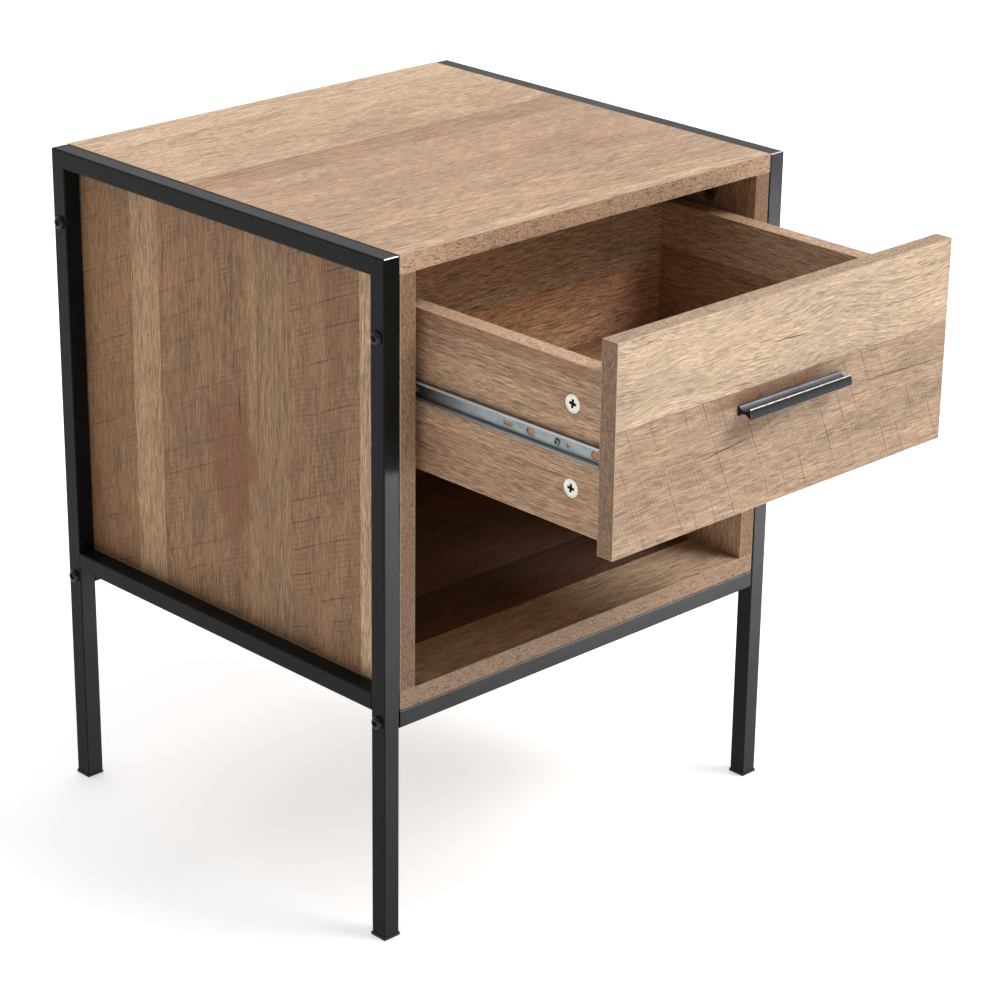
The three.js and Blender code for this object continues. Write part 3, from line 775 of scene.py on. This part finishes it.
CORNERS = [f"{side}_{end}" for side in ("left", "right") for end in ("front", "rear")]
for corner in CORNERS:
    add_tube(f"{corner}_leg", "Z")
    foot = mesh_from(rounded_node(f"{corner}_foot", 0.5, 3), f"{corner}_foot_cap")
    add_piece(f"{corner}_foot_cap", foot, [PLASTIC], "cabinet", [f"{corner}_foot"], sharp=35)
for side in ("left", "right"):
    add_tube(f"{side}_top_rail", "Y")
    add_tube(f"{side}_lower_rail", "Y")
for end in ("front", "rear"):
    add_tube(f"{end}_cross_rail", "X")


# ---- Turned fittings ----

TURN_STEPS = 48
TURN_SHARP = 28  # degrees


def ring(radius, height):
    """A closed ring of points about the local X axis. Radius is a number or a function of the angle."""
    points = []
    for step in range(TURN_STEPS):
        angle = step / TURN_STEPS * math.tau
        reach = radius(angle) if callable(radius) else radius
        points.append(Vector((height, reach * math.cos(angle), reach * math.sin(angle))) * MM)
    return points


def hexagon(radius):
    """The reach of a hexagon at an angle, from its corner radius."""
    sector = math.tau / 6
    return lambda angle: radius * math.cos(sector / 2) / math.cos(angle % sector - sector / 2)


def cross(reach, half_width, slant=math.tau / 8):
    """The reach of a cross at an angle, turned by the slant."""
    def measure(angle):
        """The cross's reach at one angle."""
        from_arm = abs((angle - slant + math.tau / 8) % (math.tau / 4) - math.tau / 8)
        return min(reach / math.cos(from_arm), half_width / max(math.sin(from_arm), 1e-6))
    return measure


def turned_mesh(name, rings, dark_from=None):
    """A closed mesh through rings, from its far end to its face. Rings from number dark_from on get the
    second material, the painted shade inside a recess."""
    bm = bmesh.new()
    loops = [[bm.verts.new(point) for point in ring(*item)] for item in rings]
    for index, row in enumerate(join_loops(bm, loops)):
        for face in row:
            face.material_index = int(dark_from is not None and index >= dark_from)
    bm.faces.new(reversed(loops[0]))
    bm.faces.new(loops[-1]).material_index = int(dark_from is not None)
    return mesh_from(bm, name)


def add_turned(name, mesh, place, direction, materials, body, nodes=(), spin=0.0):
    """A turned piece whose local X axis points in a direction."""
    piece = new_piece(name, mesh, materials, TURN_SHARP)
    aim = Vector((1, 0, 0)).rotation_difference(Vector(direction)).to_matrix().to_4x4()
    piece.matrix_world = Matrix.Translation(place) @ aim @ Matrix.Rotation(spin, 4, "X")
    declare(piece, body, nodes)


BOLT = {"shank": 2.9, "length": 25, "head": 5.4, "height": 3.25, "socket": 2.3, "socket_depth": 2.2}


def bolt_mesh():
    """A button-head socket bolt with its seat at X = 0."""
    head, height = BOLT["head"], BOLT["height"]
    flat = 0.52 * head
    dome = []
    for step in range(9):
        swing = step / 8 * math.pi / 2
        dome.append((flat + (head - flat) * math.cos(swing), 0.5 + (height - 0.5) * math.sin(swing)))
    socket = hexagon(BOLT["socket"] * 2 / math.sqrt(3))
    mouth = hexagon(BOLT["socket"] * 2 / math.sqrt(3) + 0.25)
    rings = [
        (BOLT["shank"] - 0.5, -BOLT["length"]), (BOLT["shank"], -BOLT["length"] + 0.5), (BOLT["shank"], 0),
        (head - 0.15, 0), (head, 0.15), *dome,
        (mouth, height), (socket, height - 0.25), (socket, height - BOLT["socket_depth"]),
        (0.4, height - BOLT["socket_depth"] - 0.6),
    ]
    return turned_mesh("frame_bolt", rings, dark_from=len(rings) - 3)


def add_bolts():
    """The eight frame bolts, their sockets turned to different angles."""
    mesh = bolt_mesh()
    for corner in CORNERS:
        outward = -1 if corner.startswith("left") else 1
        for level in ("upper", "lower"):
            node = f"{corner}_{level}_bolt"
            low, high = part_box(node)
            place = (low + high) / 2
            place.x = (low.x if outward < 0 else high.x) - outward * BOLT["height"] * MM
            spin = 0.4 * len(node) + (1.1 if level == "upper" else 0.2)
            add_turned(
                f"{node}_head", mesh, place, (outward, 0, 0), [OXIDE, RECESS], "cabinet",
                [node], spin)


CAM = {"radius": 7.25, "depth": 11.75, "reach": 3.2, "half_width": 0.95}


def cam_mesh():
    """A cam lock with its face at X = 0: a raised rim, a dished face and a cross recess."""
    radius = CAM["radius"]
    mouth = cross(CAM["reach"] + 0.2, CAM["half_width"] + 0.2)
    arms = cross(CAM["reach"], CAM["half_width"])
    deep = cross(CAM["reach"] - 0.9, CAM["half_width"] - 0.25)
    rings = [
        (radius - 0.4, -CAM["depth"]), (radius, -CAM["depth"] + 0.4), (radius, -0.5), (radius - 0.12, -0.15),
        (radius - 0.45, 0), (radius - 1.0, 0), (radius - 1.3, -0.25),
        (mouth, -0.25), (arms, -0.5), (deep, -2.4), (0.3, -2.8),
    ]
    return turned_mesh("cam_lock", rings, dark_from=len(rings) - 4)


def add_cams():
    """The cam locks: facing outwards on the drawer, and into the case on its side boards."""
    mesh = {on_drawer: cam_mesh() for on_drawer in (False, True)}
    for node in sorted(NODES):
        if not node.endswith("_cam"):
            continue
        low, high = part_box(node)
        place = (low + high) / 2
        side = -1 if place.x < 0 else 1
        on_drawer = node.startswith("drawer")
        facing = side if on_drawer else -side
        place.x = low.x if facing < 0 else high.x
        spin = math.tau / 8 + 0.1 * (len(node) % 3 - 1)
        # The case's cams take the darker zinc, painted shade inside the case.
        skin = NICKEL if on_drawer else CAM_ZINC_SHADED
        add_turned(
            f"{node}_lock", mesh[on_drawer], place, (facing, 0, 0), [skin, RECESS], body_of(node),
            [node], spin)


SCREW = {"shank": 1.5, "head": 3.25, "height": 2.25, "reach": 1.9, "half_width": 0.45}


def pan_screw_mesh(name, length, head, height):
    """A pan-head screw with a cross recess and its head's seat at X = 0."""
    mouth = cross(SCREW["reach"], SCREW["half_width"] + 0.1)
    deep = cross(SCREW["reach"] - 0.7, SCREW["half_width"] - 0.15)
    crown = []
    for step in range(5):
        swing = step / 4 * math.pi / 2
        crown.append((head - 1.0 + math.cos(swing), height - 1.0 + math.sin(swing)))
    crown = [(radius, max(0.2, level)) for radius, level in crown]
    rings = [
        (0.5, -length), (SCREW["shank"], -length + 1.2), (SCREW["shank"], 0), (head, 0), *crown,
        (mouth, height), (deep, height - 1.0), (0.15, height - 1.3),
    ]
    return turned_mesh(name, rings, dark_from=len(rings) - 3)


def add_handle_screws():
    """The two screws that hold the handle, with their heads inside the drawer."""
    low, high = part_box("left_handle_screw")
    length = (high.y - low.y) / MM - SCREW["height"]
    mesh = pan_screw_mesh("handle_screw", length, SCREW["head"], SCREW["height"])
    for node in ("left_handle_screw", "right_handle_screw"):
        low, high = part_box(node)
        place = (low + high) / 2
        place.y = high.y - SCREW["height"] * MM
        add_turned(f"{node}_pan", mesh, place, (0, 1, 0), [ZINC, RECESS], "drawer", [node])


add_bolts()
add_cams()
add_handle_screws()
for node in sorted(NODES):
    if node.endswith("_cam_bolt"):
        NODES[node].data.materials.clear()
        NODES[node].data.materials.append(ZINC)


# ---- Handle ----

# The flange is thicker than what the lean and the ridge take off it, so the outline does not fold back.
HANDLE = {
    "flange": 1.75, "waist": 2.5, "corner": 0.2, "ridge": 0.6, "arc_steps": 20, "lean": 18, "front_steps": 8,
    "rim": 0.15, "end_scale": 0.97,
}
HANDLE_SKINS = [GUNMETAL, CUT_END, SHADED_FLANGE, GLINT_STEEL]


def handle_outline(depth, height):
    """The handle's spool-shaped section as (forward, up) points: an arc between flanges, above and below.
    The front flange's face leans back towards its top in a long curve."""
    half = depth / 2
    chord = half - HANDLE["flange"]
    sagitta = (height - HANDLE["waist"]) / 2
    radius = (chord ** 2 + sagitta ** 2) / (2 * sagitta)
    swing = math.asin(chord / radius)
    corner = HANDLE["corner"]
    upper = [(-half, height / 2 - corner), (-half + corner, height / 2)]
    for step in range(HANDLE["arc_steps"] + 1):
        angle = (2 * step / HANDLE["arc_steps"] - 1) * swing
        upper.append((radius * math.sin(angle), HANDLE["waist"] / 2 + radius * (1 - math.cos(angle))))
    lower = [(forward, -up) for forward, up in reversed(upper)]
    lean = math.radians(HANDLE["lean"])
    ridge = HANDLE["ridge"]
    face_height = height - corner - ridge
    face_radius = face_height / math.sin(lean)
    face = []
    for step in range(HANDLE["front_steps"] + 1):
        angle = lean * (1 - step / HANDLE["front_steps"])
        up = face_radius * math.sin(angle) - height / 2 + corner
        face.append((half - face_radius * (1 - math.cos(angle)), up))
    crest = (face[0][0] - ridge, height / 2)
    return upper + [crest, *face, (half - corner, -height / 2)] + lower


def add_handle():
    """The handle's bar, its ends a little narrower over their rims."""
    low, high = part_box("drawer_handle")
    middle = (low + high) / 2
    depth, height = (high.y - low.y) / MM, (high.z - low.z) / MM
    rim = HANDLE["rim"] * MM
    end_scale = HANDLE["end_scale"]
    bm = bmesh.new()
    loops = []
    for x, scale in ((low.x, end_scale), (low.x + rim, 1.0), (high.x - rim, 1.0), (high.x, end_scale)):
        loops.append([
            bm.verts.new((x, middle.y - forward * scale * MM, middle.z + up * scale * MM))
            for forward, up in handle_outline(depth, height)
        ])
    join_loops(bm, loops)
    caps = [bm.faces.new(loops[0]), bm.faces.new(reversed(loops[-1]))]
    bmesh.ops.recalc_face_normals(bm, faces=bm.faces)
    bm.normal_update()
    front_flange = low.y + HANDLE["flange"] * MM
    for face in bm.faces:
        on_flange = face.calc_center_median().y < front_flange
        skin = GUNMETAL
        if face in caps:
            skin = CUT_END
        # Faces that look forward take the darker copy, painted shade.
        elif face.normal.y < -0.85:
            skin = SHADED_FLANGE
        # The upper front edge takes the bright metal, a painted highlight.
        elif face.normal.y < -0.5 and face.normal.z > 0.5 and on_flange:
            skin = GLINT_STEEL
        face.material_index = HANDLE_SKINS.index(skin)
    add_piece(
        "drawer_handle_bar", mesh_from(bm, "drawer_handle_bar"), HANDLE_SKINS, "drawer",
        ["drawer_handle"], sharp=20)


add_handle()


# ---- Slides ----

def swept_strip(path, thickness, y_span):
    """A bmesh of sheet metal along Y. Path is the (x, z) line of one face, and the sheet is on its left."""
    bm = bmesh.new()
    normals = []
    for index in range(len(path)):
        before = Vector(path[max(index - 1, 0)])
        after = Vector(path[min(index + 1, len(path) - 1)])
        run = (after - before).normalized()
        normals.append(Vector((-run.y, run.x)))
    outline = [Vector(point) for point in path]
    outline += [Vector(point) + normal * thickness for point, normal in reversed(list(zip(path, normals)))]
    ends = [[bm.verts.new((p.x * MM, y, p.y * MM)) for p in outline] for y in y_span]
    join_loops(bm, ends)
    bm.faces.new(ends[0])
    bm.faces.new(reversed(ends[1]))
    return bm


def bend(centre, radius, start, sweep, steps=6):
    """Points on a bend: an arc about a centre, angles in degrees."""
    points = []
    for step in range(steps + 1):
        angle = math.radians(start + sweep * step / steps)
        points.append((centre[0] + radius * math.cos(angle), centre[1] + radius * math.sin(angle)))
    return points


def bored(mesh, cutters):
    """A mesh less its cutters, each a list of (x, y, z) loops at its two ends, in metres."""
    target = bpy.data.objects.new("bored", mesh)
    show(target)
    bm = bmesh.new()
    for cutter in cutters:
        loops = [[bm.verts.new(point) for point in loop] for loop in cutter]
        join_loops(bm, loops)
        bm.faces.new(loops[0])
        bm.faces.new(reversed(loops[1]))
    tool = bpy.data.objects.new("cutter", mesh_from(bm, "cutter"))
    show(tool)
    boolean = target.modifiers.new("bore", "BOOLEAN")
    boolean.operation = "DIFFERENCE"
    boolean.solver = "EXACT"
    boolean.object = tool
    graph = bpy.context.evaluated_depsgraph_get()
    result = bpy.data.meshes.new_from_object(target.evaluated_get(graph))
    for helper in (target, tool):
        bpy.data.objects.remove(helper)
    return result


def slot_cutter(x_span, y_span, z_middle, width):
    """A round-ended slot through a web, as a cutter for bored(). Equal ends of y_span give a round hole."""
    radius = width / 2
    points = bend((y_span[0], z_middle), radius, 90, 180, 10)
    points += bend((y_span[1], z_middle), radius, -90, 180, 10)
    if y_span[0] == y_span[1]:
        points = bend((y_span[0], z_middle), radius, 0, 342, 19)
    return [[Vector((x * MM, y * MM, z * MM)) for y, z in points] for x in x_span]


INNER = {"height": 14.5, "depth": 4.6, "sheet": 0.9, "bend": 1.2, "lip": 1.5}
INNER_NOTCH = {"radius": 3.5, "from_end": 7}
INNER_HOLES = [(33, 3.5), (44, 3.5), (214, 3.5), (232, 3.5)]
INNER_SLOTS = [(70, 9.0, 5.5), (93, 10.0, 3.5), (190, 9.0, 4.5)]
SLIDE_SCREWS = [44, 214]


def paint_highlight_edges(mesh):
    """Gives the second material, the painted highlight, to the upward faces of the lips and of the lower
    bend.
    """
    for face in mesh.polygons:
        from_web = face.center.x / MM
        on_lip = from_web > INNER["depth"] / 2
        on_bend = from_web < INNER["bend"] + 0.3 and face.center.z < 0
        face.material_index = int(face.normal.z > 0.25 and (on_lip or on_bend))


def inner_member_mesh(side, length):
    """The drawer's member: a web with rounded bends and two flanges that curl into ball races.
    X = 0 is the web's face on the drawer, and it opens towards the case."""
    half, depth, curve = INNER["height"] / 2, INNER["depth"], INNER["bend"]
    lip_radius = INNER["lip"]
    lip = bend((depth - lip_radius, half - lip_radius), lip_radius, -10, 100, 8)
    corner = bend((curve, half - curve), curve, 90, 90)
    path = lip + corner
    path = path + [(x, -z) for x, z in reversed(path)]
    bm = swept_strip(path, INNER["sheet"], (-length / 2, length / 2))
    mesh = mesh_from(bm, "slide_inner_member")
    tip = -length / 2 / MM
    through = (-1.0, INNER["sheet"] + 1.0)
    cutters = [slot_cutter(through, (tip - 8, tip + INNER_NOTCH["from_end"]), 0, 2 * INNER_NOTCH["radius"])]
    for from_end, width in INNER_HOLES:
        cutters.append(slot_cutter(through, (tip + from_end, tip + from_end), 0, width))
    for from_end, run, width in INNER_SLOTS:
        reach = (run - width) / 2
        cutters.append(slot_cutter(through, (tip + from_end - reach, tip + from_end + reach), 0, width))
    mesh = bored(mesh, cutters)
    paint_highlight_edges(mesh)
    mesh.transform(Matrix.Diagonal((side, 1, 1, 1)))
    if side < 0:
        mesh.flip_normals()
    return mesh


def add_inner_members():
    """The drawer's slide members, each with its two screws."""
    for side_name, side in (("left", -1), ("right", 1)):
        node = f"{side_name}_slide_inner"
        low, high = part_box(node)
        web_x = high.x if side < 0 else low.x
        mesh = inner_member_mesh(side, high.y - low.y)
        mesh.transform(Matrix.Translation((web_x, (low.y + high.y) / 2, (low.z + high.z) / 2)))
        add_piece(f"{node}_member", mesh, [ZINC, PAINTED_HIGHLIGHT_ZINC], "drawer", [node], sharp=30)
        screw = pan_screw_mesh(f"{side_name}_slide_screw", 9.0, 2.7, 1.3)
        for number, from_end in enumerate(SLIDE_SCREWS):
            place = (web_x + side * INNER["sheet"] * MM, low.y + from_end * MM, (low.z + high.z) / 2)
            add_turned(
                f"{side_name}_slide_screw_{number}", screw, place, (side, 0, 0), [ZINC, RECESS], "drawer",
                spin=0.5 + number)


def add_outer_members():
    """The case's slide members and the ball cages."""
    for side_name in ("left", "right"):
        node = f"{side_name}_slide_outer"
        mesh = mesh_from(rounded_node(node, 0.9, 4, "Y"), f"{node}_member")
        add_piece(f"{node}_member", mesh, [ZINC], "cabinet", [node], sharp=30)
        cage = f"{side_name}_ball_cage"
        mesh = mesh_from(rounded_node(cage, 0.3, 3, "Y"), f"{cage}_strip")
        add_piece(f"{cage}_strip", mesh, [ZINC], body_of(cage), [cage], sharp=40)


add_inner_members()
add_outer_members()


# ---- Floor, light and camera ----

FLOOR_REACH = 40.0
FLOOR_GLOW = 0.5  # about half of display white


def floor_material():
    """A matt pale floor that also gives off light of its own, so that it stays white."""
    graph = Graph("studio_floor", specular=0.1)
    x, y, _ = graph.place()
    mottle = graph.noise(x / 300, y / 300, 0.0, 2)
    colour = graph.gain(tint(226, 226, 226), mottle * 0.004 + 1.0)
    graph.shader.inputs["Emission Color"].default_value = (1, 1, 1, 1)
    graph.shader.inputs["Emission Strength"].default_value = FLOOR_GLOW
    return graph.finish(colour, mottle * 0.02 + 0.9, mottle, 0.01)


def add_floor():
    """A wide flat floor at Z = 0."""
    corners = ((-1, -1), (1, -1), (1, 1), (-1, 1))
    bm = bmesh.new()
    bm.faces.new([bm.verts.new((x * FLOOR_REACH, y * FLOOR_REACH, 0)) for x, y in corners])
    floor = bpy.data.objects.new("floor", mesh_from(bm, "floor"))
    floor.data.materials.append(floor_material())
    show(floor)


WORLD = {"low": 0.18, "glow": 1.15, "toward": (0.62, 0.74, 0.26), "inner": 0.93, "outer": 0.45}
KEY = {"toward": (0.42, -0.5, 0.76), "strength": 2.35, "angle": 30}
OVERHEAD = {"toward": (-0.15, 0.25, 0.95), "strength": 1.0, "angle": 90}
CARD = {
    "place": (1.05, -1.2, 0.12), "at": (0.01, -0.12, 0.1), "width": 0.8, "height": 0.2, "spread": 40,
    "power": 7.4,
}


def add_world():
    """A dim white room with a broad soft glow behind the table, on its right."""
    world = bpy.data.worlds.new("studio")
    bpy.context.scene.world = world
    world.use_nodes = True
    tree = world.node_tree
    background = tree.nodes["Background"]
    background.inputs["Color"].default_value = (1, 1, 1, 1)
    coordinates = tree.nodes.new("ShaderNodeTexCoord")
    facing = tree.nodes.new("ShaderNodeVectorMath")
    facing.operation = "DOT_PRODUCT"
    facing.inputs[1].default_value = Vector(WORLD["toward"]).normalized()
    strength = tree.nodes.new("ShaderNodeMapRange")
    strength.interpolation_type = "SMOOTHSTEP"
    limits = (WORLD["outer"], WORLD["inner"], WORLD["low"], WORLD["low"] + WORLD["glow"])
    for limit, socket in zip(limits, list(strength.inputs)[1:5]):
        socket.default_value = limit
    tree.links.new(coordinates.outputs["Generated"], facing.inputs[0])
    tree.links.new(facing.outputs["Value"], strength.inputs[0])
    tree.links.new(strength.outputs[0], background.inputs["Strength"])


def add_sun(name, light):
    """A distant soft light. Toward points at it, and its angle is its width in degrees."""
    sun = bpy.data.objects.new(name, bpy.data.lights.new(name, "SUN"))
    sun.data.energy = light["strength"]
    sun.data.angle = math.radians(light["angle"])
    sun.rotation_mode = "QUATERNION"
    sun.rotation_quaternion = Vector(light["toward"]).to_track_quat("Z", "Y")
    show(sun)


def add_card():
    """A low card of light at the front that only puts a sheen on the steel tubes."""
    card = bpy.data.objects.new("low_card", bpy.data.lights.new("low_card", "AREA"))
    card.data.shape = "RECTANGLE"
    card.data.size, card.data.size_y = CARD["width"], CARD["height"]
    card.data.energy = CARD["power"]
    card.data.spread = math.radians(CARD["spread"])
    card.location = CARD["place"]
    card.rotation_mode = "QUATERNION"
    card.rotation_quaternion = (Vector(CARD["place"]) - Vector(CARD["at"])).to_track_quat("Z", "Y")
    card.visible_camera = False
    card.visible_diffuse = False
    card.light_linking.receiver_collection = TUBES
    show(card)


CAMERA = {"place": (-1.63743, -1.67223, 1.22914), "azimuth": -44.269, "elevation": 22.042, "roll": 0.760}
LENS = 113.40


def add_camera():
    """The camera: azimuth and elevation are where it stands, and roll leans it sideways."""
    azimuth, elevation, roll = (math.radians(CAMERA[key]) for key in ("azimuth", "elevation", "roll"))
    level = math.cos(elevation)
    back = Vector((math.sin(azimuth) * level, -math.cos(azimuth) * level, math.sin(elevation)))
    right = (-back).cross(Vector((0, 0, 1))).normalized()
    up = back.cross(right)
    leaned_right = right * math.cos(roll) + up * math.sin(roll)
    leaned_up = up * math.cos(roll) - right * math.sin(roll)
    camera = bpy.data.objects.new("camera", bpy.data.cameras.new("camera"))
    camera.data.lens = LENS
    camera.data.sensor_width = 36
    camera.matrix_world = Matrix.Translation(CAMERA["place"]) @ Matrix(
        (leaned_right, leaned_up, back)).transposed().to_4x4()
    show(camera)
    bpy.context.scene.camera = camera


add_floor()
add_world()
add_sun("key_light", KEY)
add_sun("overhead_light", OVERHEAD)
add_card()
add_camera()
bpy.context.scene.view_settings.view_transform = "Standard"
